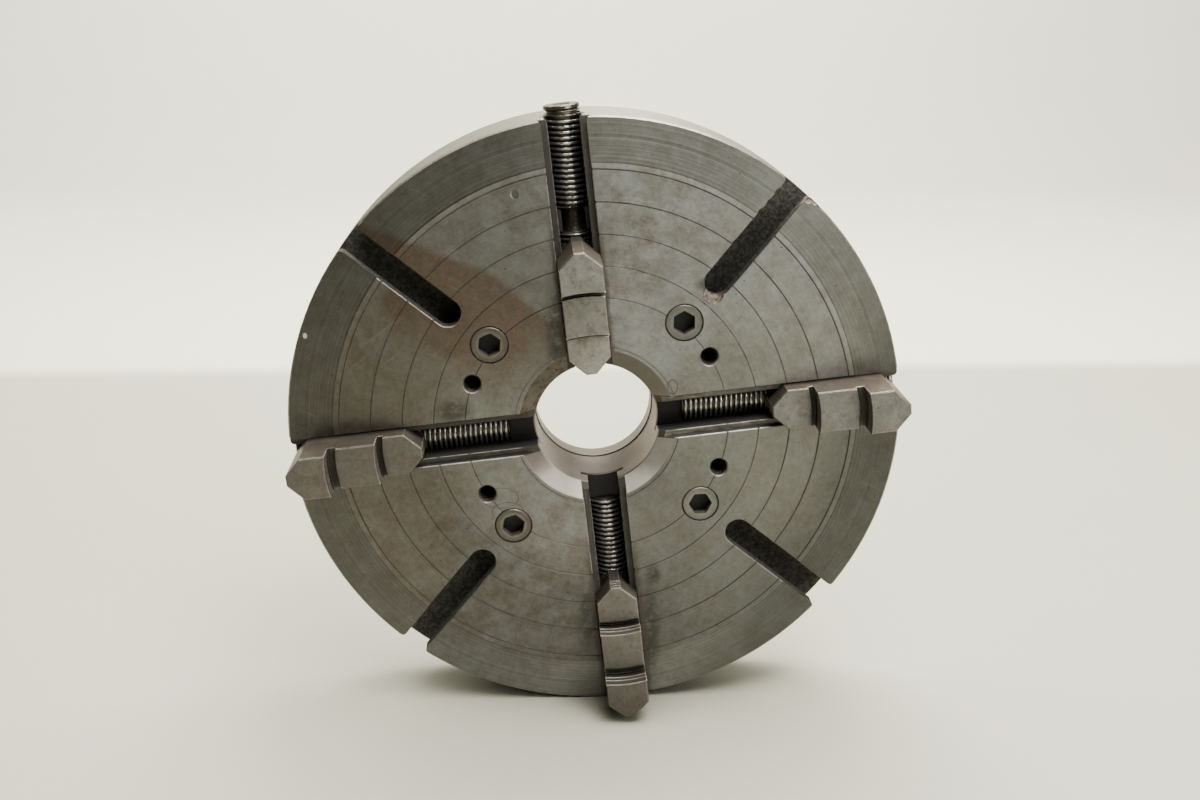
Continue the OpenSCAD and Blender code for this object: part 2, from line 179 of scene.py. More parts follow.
class Graph:
    """A material and short names for its nodes."""

    def __init__(self, name):
        self.material = bpy.data.materials.new(name)
        self.material.use_nodes = True
        self.tree = self.material.node_tree
        self.tree.nodes.clear()
        self.output = self.node("ShaderNodeOutputMaterial")
        self.shader = self.node("ShaderNodeBsdfPrincipled")
        self.tree.links.new(self.shader.outputs[0], self.output.inputs[0])
        coordinates = self.node("ShaderNodeTexCoord").outputs["Object"]
        self.vector = self.node("ShaderNodeVectorMath", operation="SCALE")
        self.tree.links.new(coordinates, self.vector.inputs[0])
        self.vector.inputs["Scale"].default_value = 1.0 / MILLIMETRE
        split = self.node("ShaderNodeSeparateXYZ")
        self.tree.links.new(self.vector.outputs[0], split.inputs[0])
        self.x, self.y, self.z = (Num(self, split.outputs[n]) for n in range(3))
        self.here = self.vector.outputs[0]
        # Along and across the nearest jaw slot, and the depth below the working face
        cos, sin = math.cos(CLOCKING), math.sin(CLOCKING)
        self.a = self.x * cos + self.z * sin
        self.b = self.z * cos - self.x * sin
        self.along = self.math("MAXIMUM", abs(self.a), abs(self.b))
        self.across = self.math("MINIMUM", abs(self.a), abs(self.b))
        self.r = self.root(self.x * self.x + self.z * self.z)
        self.depth = self.y + FACE_DEPTH

    def node(self, kind, **settings):
        made = self.tree.nodes.new(kind)
        for name, value in settings.items():
            setattr(made, name, value)
        return made

    def feed(self, value, socket):
        """Link a node's output to a socket, or set a constant on it."""
        if isinstance(value, Num):
            value = value.socket
        if isinstance(value, bpy.types.NodeSocket):
            self.tree.links.new(value, socket)
        else:
            if socket.type == "RGBA" and len(value) == 3:
                value = (*value, 1.0)
            socket.default_value = value

    def math(self, operation, *values):
        made = self.node("ShaderNodeMath", operation=operation)
        for value, socket in zip(values, made.inputs):
            self.feed(value, socket)
        return Num(self, made.outputs[0])

    def root(self, value):
        return self.math("SQRT", value)

    def least(self, a, b):
        return self.math("MINIMUM", a, b)

    def most(self, a, b):
        return self.math("MAXIMUM", a, b)

    def step(self, value, low, high):
        """0 before low, 1 after high, smooth between; falls if low is above high."""
        made = self.node("ShaderNodeMapRange", interpolation_type="SMOOTHSTEP")
        self.feed(value, made.inputs[0])
        ends = (1, 0) if low > high else (0, 1)
        for socket, limit in zip(made.inputs[1:5], (min(low, high), max(low, high), *ends)):
            socket.default_value = limit
        return Num(self, made.outputs[0])

    def band(self, value, low, high, soft):
        """1 between low and high, with soft sides."""
        above = self.step(value, low - soft, low + soft)
        return above * self.step(value, high + soft, high - soft)

    def point(self, x, y, z):
        made = self.node("ShaderNodeCombineXYZ")
        for value, socket in zip((x, y, z), made.inputs):
            self.feed(value, socket)
        return made.outputs[0]

    def noise(self, size, detail=3.0, rough=0.55, at=None):
        """Even noise from 0 to 1 about 0.5, with features of the given size in millimetres."""
        made = self.node("ShaderNodeTexNoise")
        self.feed(at or self.here, made.inputs["Vector"])
        for name, value in (("Scale", 1.0 / size), ("Detail", detail), ("Roughness", rough)):
            made.inputs[name].default_value = value
        return Num(self, made.outputs[0])

    def rings(self, value, size):
        """Noise along one number only, such as turning marks along a radius."""
        made = self.node("ShaderNodeTexNoise", noise_dimensions="1D")
        self.feed(value, made.inputs["W"])
        made.inputs["Scale"].default_value = 1.0 / size
        made.inputs["Detail"].default_value = 2.0
        return Num(self, made.outputs[0])

    def cells(self, size):
        """Distance to the nearest of many scattered points."""
        made = self.node("ShaderNodeTexVoronoi", feature="F1")
        self.feed(self.here, made.inputs["Vector"])
        made.inputs["Scale"].default_value = 1.0 / size
        return Num(self, made.outputs[0])

    def mix(self, share, a, b, blend="MIX"):
        """Colour a, turning to colour b as share goes from 0 to 1."""
        made = self.node("ShaderNodeMix", data_type="RGBA", blend_type=blend)
        # By number, because a Mix node has sockets A and B for each type of data
        for value, socket in ((share, 0), (a, 6), (b, 7)):
            self.feed(value, made.inputs[socket])
        return made.outputs[2]

    def blend(self, share, a, b):
        """Number a, turning to number b as share goes from 0 to 1."""
        made = self.node("ShaderNodeMix", data_type="FLOAT")
        for value, socket in ((share, 0), (a, 2), (b, 3)):
            self.feed(value, made.inputs[socket])
        return Num(self, made.outputs[0])

    def scale(self, colour, factor):
        """A colour made brighter or darker."""
        made = self.node("ShaderNodeVectorMath", operation="SCALE")
        self.feed(colour, made.inputs[0])
        self.feed(factor, made.inputs["Scale"])
        return made.outputs[0]

    def facing(self, axis, normal=None):
        """How far the surface, or a given normal, faces along an axis, from -1 to 1."""
        split = self.node("ShaderNodeSeparateXYZ")
        normal = normal or self.node("ShaderNodeNewGeometry").outputs["Normal"]
        self.tree.links.new(normal, split.inputs[0])
        return Num(self, split.outputs[axis])

    def edges(self, radius, low=0.03, high=0.25):
        """1 on edges sharper than a radius in millimetres, and the rounded normal there."""
        bevel = self.node("ShaderNodeBevel", samples=6)
        bevel.inputs["Radius"].default_value = radius * MILLIMETRE
        geometry = self.node("ShaderNodeNewGeometry")
        dot = self.node("ShaderNodeVectorMath", operation="DOT_PRODUCT")
        self.tree.links.new(bevel.outputs[0], dot.inputs[0])
        self.tree.links.new(geometry.outputs["Normal"], dot.inputs[1])
        turned = 1.0 - Num(self, dot.outputs["Value"])
        return self.step(turned, low, high), bevel.outputs[0]

    def hollows(self, distance, samples=6):
        """1 in the open, 0 deep in a corner or hole."""
        made = self.node("ShaderNodeAmbientOcclusion", samples=samples)
        made.inputs["Distance"].default_value = distance * MILLIMETRE
        return Num(self, made.outputs["AO"])

    def to_hole(self, place):
        """Distance to the middle of the nearest of the four holes at place, mirrored."""
        off_a, off_b = abs(self.a) - place[0], abs(self.b) - place[1]
        return self.root(off_a * off_a + off_b * off_b)

    def scratches(self, angle, length, gap, low, high):
        """Long thin marks at an angle in the plane of the face."""
        cos, sin = math.cos(math.radians(angle)), math.sin(math.radians(angle))
        run = (self.x * cos + self.z * sin) / length
        side = (self.z * cos - self.x * sin) / gap
        return self.step(self.noise(1.0, 2.0, 0.5, self.point(run, self.y / gap, side)), low, high)

    def spot(self, x, z, wide, high, soft=0.6):
        """A soft elliptic patch on the face, 1 at its centre."""
        across, up = (self.x - x) / wide, (self.z - z) / high
        return self.step(self.root(across * across + up * up), 1.0 + soft, 1.0 - soft)

    def loop(self, x, z, wide, high, width):
        """A thin elliptic line scratched in the face."""
        across, up = (self.x - x) / wide, (self.z - z) / high
        off = abs(self.root(across * across + up * up) - 1.0)
        return self.step(off, width / wide, 0.2 * width / wide)

    def turned(self, amount):
        """Turning grooves about the spindle axis spread highlights across themselves."""
        facing = self.step(abs(self.facing("Y")), 0.4, 0.6)
        tangent = self.point(self.x * facing, (1.0 - facing) * self.r, self.z * facing)
        self.feed(tangent, self.shader.inputs["Tangent"])
        self.shader.inputs["Anisotropic"].default_value = amount

    def finish(self, colour, roughness, metallic, height=None, relief=0.1, normal=None):
        """relief is what a height of 1 stands for, in millimetres."""
        self.feed(colour, self.shader.inputs["Base Color"])
        self.feed(roughness, self.shader.inputs["Roughness"])
        self.feed(metallic, self.shader.inputs["Metallic"])
        if height is not None:
            bump = self.node("ShaderNodeBump")
            bump.inputs["Strength"].default_value = 1.0
            bump.inputs["Distance"].default_value = relief * MILLIMETRE
            self.feed(height, bump.inputs["Height"])
            if normal is not None:
                self.tree.links.new(normal, bump.inputs["Normal"])
            normal = bump.outputs[0]
        if normal is not None:
            self.tree.links.new(normal, self.shader.inputs["Normal"])
        return self.material


# ---------------------------------------------------------------- materials


class BodyIron(Graph):
    """The chuck body's graph, with the places and noises that its layers share.

    Layers also leave on it what later ones use, such as film, brown and scribed.
    """

    def __init__(self):
        super().__init__("worn_machined_iron")
        self.find_places()
        self.find_noises()

    def find_places(self):
        """Masks, 1 inside a feature of the body."""
        r, depth, step = self.r, self.depth, self.step
        self.front = abs(self.facing("Y"))
        self.to_tapped, self.to_cap = self.to_hole(TAPPED_HOLE), self.to_hole(CAP_SCREW)
        diagonals = (self.a + self.b) * HALF_ROOT, (self.b - self.a) * HALF_ROOT
        self.clamp_across = self.least(abs(diagonals[0]), abs(diagonals[1]))
        # Depth below the face or the band
        sunk = depth - step(r, BAND_R - 0.1, BAND_R + 0.1) * BAND_DROP
        # Not on the rim or the rear face
        within = step(r, BODY_R - 0.3, BODY_R - 0.7)
        within = within * step(depth, BODY_DEPTH - 0.4, BODY_DEPTH - 0.8)
        jaw_slot = step(self.across, JAW_SLOT_HALF + 0.1, JAW_SLOT_HALF - 0.3)
        jaw_slot = jaw_slot * step(r, BORE_R + 0.6, BORE_R + 1.4) * step(sunk, 0.35, 0.6)
        self.in_jaw_slot = jaw_slot * within
        clamp_slot = step(self.clamp_across, CLAMP_SLOT_HALF + 0.5, CLAMP_SLOT_HALF + 0.2)
        clamp_slot = clamp_slot * step(r, 130.0, 135.0) * step(sunk, 0.62, 0.75)
        self.in_clamp_slot = clamp_slot * within
        self.in_hole = step(self.to_tapped, 8.6, 8.2) * step(depth, 0.5, 1.2)
        self.in_sink = step(self.to_cap, 16.2, 15.9) * step(depth, 0.3, 0.9)
        self.drilled = self.most(self.in_hole, self.in_sink)
        self.bore = step(r, MOUTH_R + 1.5, MOUTH_R - 1.0) * step(depth, 0.3, 1.0)
        self.chamfer = step(r, BORE_R + 0.5, BORE_R + 1.5)
        self.rim = step(r, BODY_R - 1.1, BODY_R - 0.6) * step(depth, 0.9, 1.5)
        self.rear = step(depth, BODY_DEPTH - 1.5, BODY_DEPTH - 0.5)
        self.outer = step(r, BAND_R - 0.1, BAND_R + 0.2) * step(depth, 1.9, 1.2)
        self.on_face = step(depth, 1.8, 1.2)
        # How far from the nearest scribed circle
        half = CIRCLE_STEP / 2
        self.from_circle = self.math("MODULO", r - CIRCLE_R + half, CIRCLE_STEP) - half

    def find_noises(self):
        """Turning marks, mottling and grain."""
        wobble = self.noise(30.0, 2.0) * 0.6
        self.coarse = self.rings(self.r + wobble, 2.6)
        self.fine = self.rings(self.r + wobble, 0.8)
        self.broad = self.noise(75.0, 3.0, 0.6)
        self.blotch = self.noise(16.0, 5.0, 0.65)
        self.grain = self.noise(4.5, 6.0, 0.85)
        self.warp = (self.noise(24.0, 4.0, 0.6) - 0.5) * 34.0  # to bend the outlines of stains


def turned_face(g):
    """Bare turned iron, mottled, with the finer and darker band round the outside; painted light on
    the band and along its step.
    """
    coarse, fine, outer = g.coarse, g.fine, g.outer
    tone = 1.0 + (g.broad - 0.5) * 0.42 + (g.blotch - 0.5) * 0.55 + (g.grain - 0.5) * 1.15
    tone = tone + (coarse - 0.5) * 0.14 + (fine - 0.5) * 0.10
    colour = g.mix(g.step(g.blotch, 0.35, 0.65), (0.160, 0.155, 0.139), (0.168, 0.172, 0.163))
    colour = g.scale(colour, tone)
    band_tone = 1.0 + (coarse - 0.5) * 0.30 + (fine - 0.5) * 0.45
    # Painted light on the band: painted shade to the left and a painted highlight towards the
    # bottom.
    band_tone = band_tone * (1.0 - g.step(g.x, 20.0, -110.0) * 0.26)
    band_tone = band_tone * (1.0 + g.step(g.z, -140.0, -215.0) * 0.30)
    band = g.scale(g.mix(0.4, colour, (0.092, 0.094, 0.084)), band_tone)
    colour = g.mix(outer, colour, band)
    # A painted highlight along the edge of the step down to the band, stronger to the upper right,
    # and a painted shade line at its foot.
    step_light_and_shade = g.band(g.r, BAND_R - 3.4, BAND_R - 0.2, 0.3)
    step_light_and_shade = step_light_and_shade - g.band(g.r, BAND_R + 0.1, BAND_R + 0.9, 0.2) * 1.6
    lit = 0.35 + g.step(g.x * 0.5 + g.z, -120.0, 40.0) * 0.65
    step_light_and_shade = step_light_and_shade * g.step(g.depth, 2.4, 1.9) * lit
    return g.scale(colour, 1.0 + step_light_and_shade * (0.02 + g.broad * 0.35))


def oil_film(g, colour):
    """Darker and browner towards the lower left; to the right a painted shade and a painted
    highlight.
    """
    warp = g.warp
    lean = g.x * -0.80 + g.z * -0.56
    film = g.step(lean + warp * 1.5, -60.0, 150.0) * g.step(g.r + warp * 0.5, 96.0, 150.0)
    film = film * (1.0 - g.outer * 0.5)
    g.film = g.most(film, g.step(g.x + warp * 1.5, -110.0, -210.0) * 0.55)
    left = g.step(g.x + g.z * -0.2, -60.0, -130.0)
    tint = g.mix(left, (0.60, 0.585, 0.56), (0.65, 0.595, 0.535))
    colour = g.mix(g.film, colour, g.mix(1.0, colour, tint, "MULTIPLY"))
    # Painted shade to the right and lower right, and a painted highlight on the right.
    shade = g.step(g.x * 0.906 - g.z * 0.423 + warp * 0.6, 150.0, 225.0)
    rubbed_and_painted_highlight = g.spot(178.0, 66.0, 48.0, 46.0, 0.8)
    return g.scale(colour, 1.0 - shade * 0.44 + rubbed_and_painted_highlight * 0.40)


def oil_stains(g, colour):
    """A brown stain beside the upper left clamp slot, and smaller ones."""
    warp = g.warp
    beside = g.x * 0.625 + g.z * 0.781  # away from the slot's middle line
    outward = g.z * 0.625 - g.x * 0.781  # along the slot
    limit = 47.0 - g.most(outward - 150.0, 0.0) * 0.31
    oil = g.step(beside + warp * 0.25 - limit, 3.0, -5.0)
    oil = oil * g.step(beside + warp * 1.2, -48.0, -10.0) * g.step(outward + warp, 58.0, 100.0)
    wiped = g.step(g.r, 195.0, 212.0) * g.step(beside, -6.0, -14.0)
    oil = oil * (0.90 + (g.blotch - 0.5) * 1.6) * (1.0 - wiped)
    streak = g.spot(32.0, 132.0, 22.0, 44.0) * g.step(g.noise(11.0, 4.0, 0.7), 0.42, 0.66)
    lower = g.spot(-62.0, -128.0, 95.0, 80.0, 0.8) * g.step(g.noise(20.0, 5.0, 0.7), 0.40, 0.66)
    g.brown = g.least(g.most(g.most(oil, streak * 0.30), lower * 0.55), 1.0)
    patches = g.step(g.noise(7.0, 4.0, 0.7), 0.42, 0.60)
    tint = g.mix(patches, (0.63, 0.51, 0.41), (0.70, 0.50, 0.39))
    return g.mix(g.brown, colour, g.mix(1.0, colour, tint, "MULTIPLY"))


def dark_patches_and_strips(g, colour):
    """Dark patches and strips beside the jaws, and dark patches by the holes."""
    dark_patch = g.most(
        g.most(g.spot(-31.0, 78.0, 9.0, 30.0), g.spot(46.0, -188.0, 8.0, 42.0)),
        g.most(g.spot(48.0, -134.0, 6.0, 9.0), g.spot(-6.0, -170.0, 9.0, 30.0)),
    )
    dark_patch = g.most(dark_patch, g.most(g.spot(-117.0, 14.0, 14.0, 9.0), g.spot(88.0, 118.0, 9.0, 5.0)))
    dark_patch = dark_patch * g.step(g.noise(7.0, 4.0, 0.7), 0.26, 0.56)
    colour = g.mix(dark_patch * 0.85, colour, (0.050, 0.050, 0.043))
    uneven = g.blotch - 0.5
    above = g.step(g.across + uneven * 6.0, 22.5, 19.0) * g.band(g.b, 40.0, 160.0, 18.0)
    below = g.step(g.across + uneven * 8.0, 24.0, 19.0) * g.step(g.b, -90.0, -130.0)
    return g.mix(g.most(above, below) * 0.75, colour, (0.066, 0.054, 0.042))


def marks(g, colour):
    """Scratches, scribed loops, a dent, specks and a fleck of paint; also their relief."""
    rising = g.scratches(38.0, 60.0, 0.9, 0.68, 0.74)
    falling = g.scratches(-24.0, 45.0, 0.8, 0.68, 0.74)
    scratches = g.most(g.most(rising, falling), g.scratches(81.0, 80.0, 1.0, 0.68, 0.75))
    scratches = scratches * g.step(g.noise(40.0, 2.0), 0.45, 0.6)
    colour = g.mix(scratches * 0.14, colour, (0.36, 0.36, 0.33))
    loops = g.most(
        g.most(g.loop(-74.0, -74.0, 13.0, 8.0, 1.0), g.loop(-80.0, -62.0, 15.0, 9.0, 0.9)),
        g.loop(61.0, 33.0, 4.0, 6.0, 0.8),
    )
    dent = g.spot(-65.0, 190.0, 2.8, 3.6, 0.3)
    specks = g.step(g.cells(9.0), 0.10, 0.05) * g.step(g.noise(30.0, 2.0), 0.5, 0.6)
    dirt = g.most(loops * 0.5, specks * 0.8) * g.on_face
    colour = g.mix(dirt, colour, (0.050, 0.040, 0.030))
    colour = g.mix(dent * g.on_face * 0.6, colour, (0.07, 0.065, 0.055))
    fleck = g.spot(-232.0, 78.0, 1.6, 2.2, 0.3) * g.step(g.depth, 2.4, 1.9)
    colour = g.mix(fleck, colour, (0.60, 0.60, 0.56))
    g.marks_relief = (
        scratches * 0.10,
        loops * 0.3,
        dent * g.on_face * 4.0,
        specks * g.on_face * 0.5,
    )
    return colour


def scribed_circles(g, colour):
    """Dark lines in the scribed circles, painted fainter towards the lower left where the grooves
    catch the light: painted light.
    """
    r = g.r
    line = g.step(abs(g.from_circle), 0.75, 0.45) * g.on_face
    line = line * g.step(r, 100.0, 104.0) * g.step(r, 212.0, 211.0)
    line_strength = 0.22 + g.step(r, 110.0, 200.0) * 0.35
    line = line * (line_strength + g.step(g.noise(28.0, 2.0), 0.4, 0.6) * 0.25)
    # Painted light: the lines are fainter towards the lower left, where the grooves catch the
    # light.
    line = line * (0.55 + g.step(g.x + g.z * 0.6, -90.0, 40.0) * 0.45)
    kept = g.most(g.step(g.noise(48.0, 3.0), 0.40, 0.54), g.step(r, 130.0, 165.0))
    g.scribed = line * (0.15 + kept * 0.85)
    return g.mix(g.scribed, colour, (0.030, 0.028, 0.024))


def bore_lining(g, colour):
    """The clean bore and its chamfered mouth, darker and rusty above; painted shade to the left and
    a painted highlight low on the chamfer.
    """
    warp, chamfer = g.warp, g.chamfer
    mottled = 1.0 + (g.rings(g.depth + g.r, 1.1) - 0.5) * 0.25 + (g.blotch - 0.5) * 0.6
    lining = g.scale((0.29, 0.245, 0.222), mottled)
    lining = g.scale(lining, 1.0 - g.step(g.z, -28.0, -48.0) * (1.0 - chamfer) * 0.58)
    right = g.step(g.x + warp * 0.6, -8.0, 34.0) * chamfer
    lining = g.mix(right * 0.6, lining, (0.165, 0.158, 0.138))

    # Lit and dim copies on the lower chamfer: a painted highlight at its bottom.
    right = g.step(g.x + warp * 0.3, -8.0, 12.0)
    lower_chamfer = g.step(g.z, -2.0, -18.0) * chamfer
    dim = g.mix(right, (0.185, 0.160, 0.138), (0.240, 0.225, 0.200))
    lit = g.mix(right, (0.350, 0.315, 0.285), (0.540, 0.520, 0.470))
    lit = g.mix(g.step(g.z + warp * 0.4, -34.0, -54.0), dim, lit)
    lining = g.mix(lower_chamfer, lining, g.scale(lit, 1.0 + (g.blotch - 0.5) * 0.7))
    g.dull_chamfer = lower_chamfer * g.bore * right

    gritty = 1.0 + (g.grain - 0.5) * 1.2
    shaded = g.step(g.x + warp * 0.5, -12.0, -45.0) * g.step(g.z + warp * 0.5, -26.0, 4.0)
    lining = g.mix(shaded * 0.85, lining, g.scale((0.105, 0.095, 0.078), gritty))
    # Darker towards the top of the bore and its mouth.
    upper_side = g.step(g.z + warp * 1.3, -6.0, 34.0)
    lining = g.mix(upper_side * 0.75, lining, g.scale((0.095, 0.085, 0.070), gritty))
    scabs = g.step(g.noise(6.0, 5.0, 0.75), 0.48, 0.62) * g.step(g.z + warp * 0.5, -30.0, 0.0)
    scabs = scabs * chamfer * g.step(g.x, 20.0, -15.0)
    lining = g.mix(scabs * 0.75, lining, (0.052, 0.032, 0.023))
    colour = g.mix(g.bore, colour, lining)
    ring = g.band(g.r, MOUTH_R + 2.2, MOUTH_R + 3.0, 0.25) * g.on_face
    ring = ring * (0.4 + g.step(g.blotch, 0.4, 0.6) * 0.6)
    return g.mix(ring * 0.75, colour, (0.050, 0.046, 0.038))


def rim_and_rear(g, colour):
    """The turned rim, painted paler on top as a painted highlight, and the stained rear face."""
    grooves = g.rings(g.depth, 0.9) - 0.5
    # A painted highlight on top of the rim.
    rim = g.mix(g.step(g.z, 90.0, 200.0), (0.165, 0.160, 0.145), (0.235, 0.222, 0.180))
    rim = g.scale(rim, 1.0 + grooves * 0.5 + (g.blotch - 0.5) * 0.6)
    rim = g.mix(g.step(g.blotch, 0.55, 0.72) * 0.6, rim, (0.12, 0.09, 0.06))
    colour = g.mix(g.rim, colour, rim)
    tone = 1.0 + (g.coarse - 0.5) * 0.5 + (g.broad - 0.5) * 0.9
    tone = tone + (g.grain - 0.5) * 1.0 + (g.blotch - 0.5) * 0.6
    rear = g.scale((0.112, 0.107, 0.095), tone)
    rear = g.mix(g.step(g.blotch, 0.48, 0.80) * 0.5, rear, (0.072, 0.052, 0.037))
    return g.mix(g.rear, colour, rear)


def jaw_slots(g, colour):
    """Oily walls, painted darker deeper down as painted shade, and scuffed guide ledges, painted
    lighter in the right slot as a painted sheen.
    """
    depth = g.depth
    g.sliding = g.noise(1.0, 3.0, 0.6, g.point(g.along / 26.0, depth / 1.2, g.across / 0.9))
    scuffs = g.step(g.sliding, 0.53, 0.68) * g.step(g.noise(14.0, 3.0), 0.42, 0.60)
    ledge_at = g.band(depth, LEDGE_DEPTH, LEDGE_DEPTH + 0.2, 0.4)
    ledge_at = ledge_at * g.step(g.across, LEDGE_INSIDE - 0.2, LEDGE_INSIDE + 0.2)
    # Painted shade: the walls darken deeper in the slot.
    walls = g.mix(g.step(depth, 5.5, 24.0), (0.046, 0.044, 0.039), (0.016, 0.015, 0.014))
    ledge = g.mix(g.step(g.blotch, 0.40, 0.62), (0.068, 0.064, 0.055), (0.047, 0.042, 0.035))
    ledge = g.mix(scuffs * 0.6, ledge, (0.26, 0.25, 0.22))
    # Painted sheen: the ledges in the right slot are painted much lighter.
    tone = (0.80 + g.step(g.x, 30.0, 60.0) * 1.9) * (1.0 + (g.grain - 0.5) * 1.8)
    g.in_jaw_slot_walls = g.in_jaw_slot * (1.0 - ledge_at)
    return g.mix(g.in_jaw_slot, colour, g.mix(ledge_at, walls, g.scale(ledge, tone)))


def clamp_slots_and_holes(g, colour):
    """Clamp slots keep their rough casting skin; holes are dark inside, with brown patches."""
    g.casting = g.noise(3.0, 5.0, 0.75)
    skin = g.mix(g.step(g.casting, 0.35, 0.7), (0.024, 0.023, 0.020), (0.078, 0.074, 0.065))
    rusty = g.step(g.r + g.warp * 0.4, 153.0, 143.0) * g.step(g.depth, 14.0, 4.0)
    skin = g.mix(rusty * 0.8, skin, (0.060, 0.036, 0.026))
    colour = g.mix(g.in_clamp_slot, colour, skin)
    patches = g.step(g.noise(4.0, 3.0), 0.4, 0.65)
    hole = g.mix(patches, (0.030, 0.026, 0.022), (0.085, 0.060, 0.042))
    hole = g.mix(g.in_sink, hole, (0.115, 0.105, 0.088))
    return g.mix(g.drilled, colour, hole)


def worn_edges_and_painted_light(g, colour):
    """Bright edges where the corners are broken, brighter where they face up as a painted
    highlight; edges that face down are painted darker as painted shade; and two chips.
    """
    r, front = g.r, g.front
    groove = g.step(abs(g.from_circle), 1.5, 1.1)
    groove = groove * g.step(r, 100.0, 104.0) * g.step(r, 212.6, 212.2)
    corner = g.step(front, 0.45, 0.62) * g.step(front, 0.92, 0.80)
    corner = corner * (1.0 - g.bore) * (1.0 - groove)
    chipped = g.most(g.spot(88.0, 108.0, 10.0, 10.0, 0.2), g.spot(167.0, 185.0, 9.0, 9.0, 0.2))
    chipped = chipped * g.step(front, 0.985, 0.95) * g.step(g.depth, 7.0, 6.0)
    broken = g.mix(g.step(g.grain, 0.40, 0.60), (0.080, 0.058, 0.046), (0.23, 0.20, 0.17))
    colour = g.mix(chipped, colour, broken)
    near_hole = g.most(g.step(g.to_tapped, 10.5, 9.8), g.step(g.to_cap, 18.5, 17.8))
    clamp_end = g.step(r, 128.0, 134.0) * g.step(g.clamp_across, 15.0, 13.0)
    jaw_end = g.step(g.across, 17.0, 15.5) * g.step(r, 52.0, 54.0)
    # Painted highlight: edges that face up are painted brighter than the wear alone gives.
    upward = g.step(g.facing("Z"), -0.45, 0.05)
    wear = 0.35 + g.step(g.noise(7.0, 4.0, 0.7), 0.36, 0.60) * 0.65
    wear = wear * (1.0 - near_hole * 0.90) * (0.30 + upward * 0.70) * (1.0 - chipped)
    wear = wear * (1.0 - clamp_end * 0.45) * (1.0 - jaw_end * 0.5)
    bright = g.mix(g.film, (0.37, 0.36, 0.32), (0.19, 0.18, 0.16))
    colour = g.mix(corner * wear, colour, bright)
    # Painted shade on edges that face down.
    downward = g.step(g.facing("Z"), -0.15, -0.50) * g.step(r, BODY_R - 3.0, BODY_R - 5.0)
    return g.mix(corner * downward * 0.8, colour, (0.050, 0.046, 0.040))


BODY_LAYERS = (
    oil_film,
    oil_stains,
    dark_patches_and_strips,
    marks,
    scribed_circles,
    bore_lining,
    rim_and_rear,
    jaw_slots,
    clamp_slots_and_holes,
    worn_edges_and_painted_light,
)


def worn_iron():
    """The chuck body: turned cast iron, worn, scratched and stained with oil, with painted light
    and shade in places.
    """
    g = BodyIron()
    colour = turned_face(g)
    for layer in BODY_LAYERS:
        colour = layer(g, colour)

    rough = 0.47 + (g.blotch - 0.5) * 0.35 + (g.grain - 0.5) * 0.2 - g.brown * 0.06
    rough = g.blend(g.outer, rough, 0.42 + (g.coarse - 0.5) * 0.2)
    rough = g.blend(g.most(g.in_clamp_slot, g.in_hole), rough, 0.90)
    rough = g.blend(g.in_jaw_slot, rough, 0.50 + (g.sliding - 0.5) * 0.4)
    rough = g.blend(g.scribed, rough, 0.9)
    # Clamp slots, holes and scribed lines are matte and hardly metallic.
    matte_places = g.most(g.most(g.in_clamp_slot, g.drilled), g.scribed)
    metal = g.blend(matte_places, g.blend(g.brown, 0.85, 0.70), 0.05)
    metal = g.blend(g.in_jaw_slot_walls, metal, 0.4)
    metal = g.blend(g.dull_chamfer, metal, 0.5)
    height = (g.coarse - 0.5) * 0.10 + (g.fine - 0.5) * g.blend(g.outer, 0.08, 0.18)
    height = height + (g.grain - 0.5) * 0.14 + (g.casting - 0.5) * g.in_clamp_slot * 9.0
    for relief in g.marks_relief:
        height = height - relief
    g.turned(0.75)
    g.shader.inputs["Specular IOR Level"].default_value = 0.15
    return g.finish(colour, rough, metal, height, 0.10)


